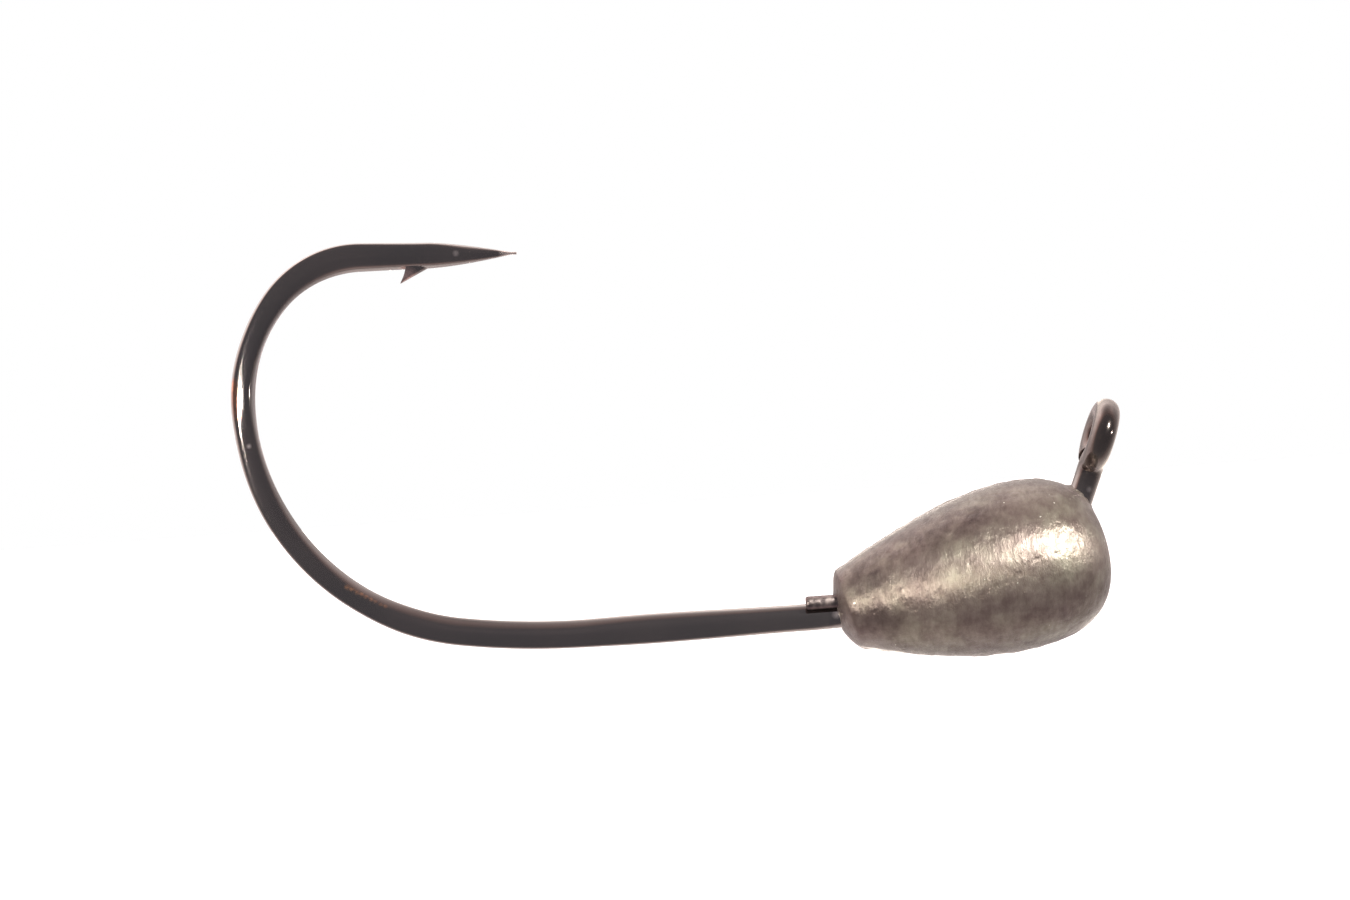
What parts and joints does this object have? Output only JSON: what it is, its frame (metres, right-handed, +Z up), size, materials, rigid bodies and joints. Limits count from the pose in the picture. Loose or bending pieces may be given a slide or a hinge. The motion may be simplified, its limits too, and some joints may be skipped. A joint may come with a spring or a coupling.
{
  "type": "jig head",
  "caption": "Cast teardrop lead head on a bare wire hook: line eye on a short leg at the nose, straight shank, round bend, barbed point, and a short keeper pin behind the head.",
  "frame": {"origin": "the middle of the line eye's hole, in the hook's plane", "axes": "+X along the shank towards the nose, +Z up towards the side of the line eye and the point, Y square to the plane of the hook"},
  "size_m": [0.0387, 0.0074, 0.02],
  "materials": {
    "hook_wire": "dark bronze-black plated wire, glossy",
    "cast_lead": "bare cast lead, dull grey-brown with brighter rubbed patches",
    "pin_wire": "dull brown-grey wire with lead smeared on it"
  },
  "bodies": {
    "root": {"hook": "hook_wire", "head": "cast_lead", "keeper_pin": "pin_wire"}
  },
  "joints": []
}
